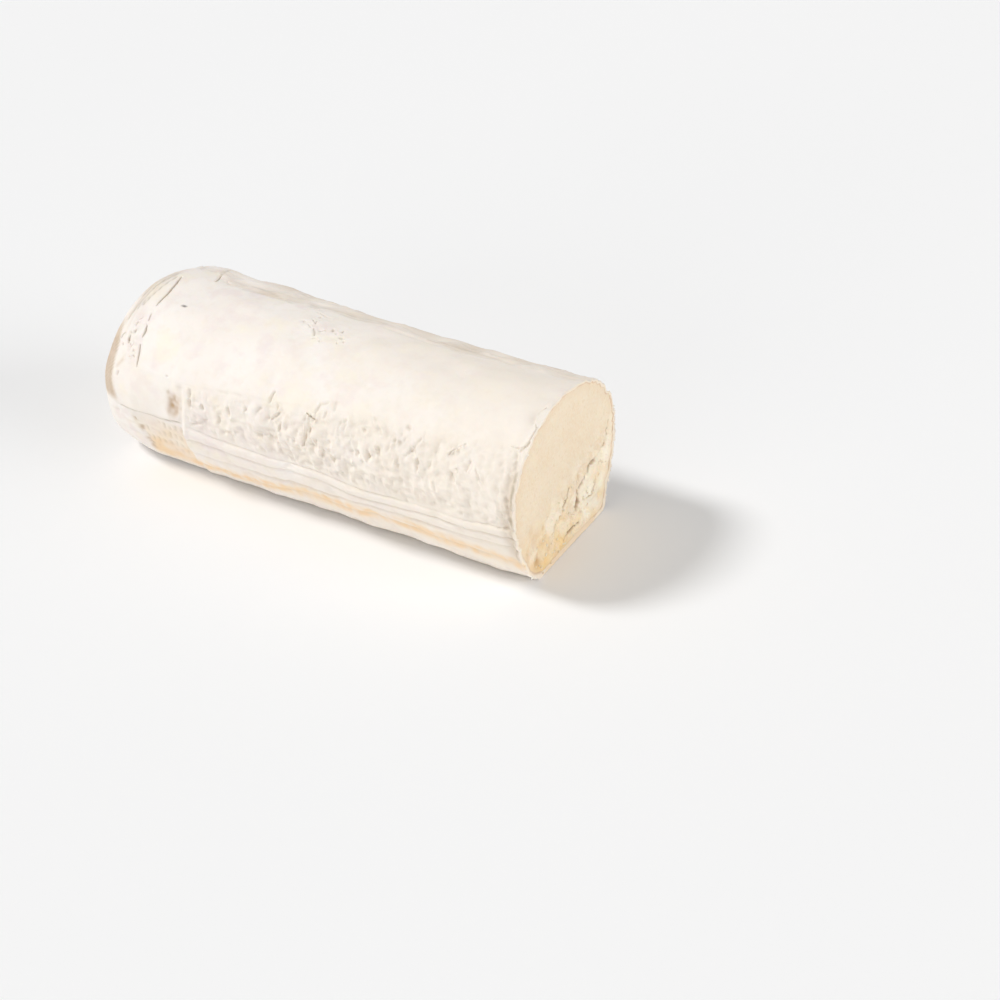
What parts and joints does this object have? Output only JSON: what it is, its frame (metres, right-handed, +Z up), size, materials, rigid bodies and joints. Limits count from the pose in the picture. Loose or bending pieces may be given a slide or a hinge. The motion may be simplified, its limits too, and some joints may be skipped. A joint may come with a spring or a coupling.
{
  "type": "goat cheese log",
  "caption": "Soft goat cheese log with a white bloomy rind, one end rounded and the other cut across, resting on a flat underside.",
  "frame": {"origin": "middle of the bounding box's underside, on the surface that the log rests on", "axes": "+X along the log towards the cut end, +Y towards the side away from the picture's view, +Z up"},
  "size_m": [0.1986, 0.0806, 0.0694],
  "materials": {
    "rind": "matte",
    "paste": "matte"
  },
  "bodies": {
    "root": {"cheese_log": "rind"}
  },
  "joints": []
}
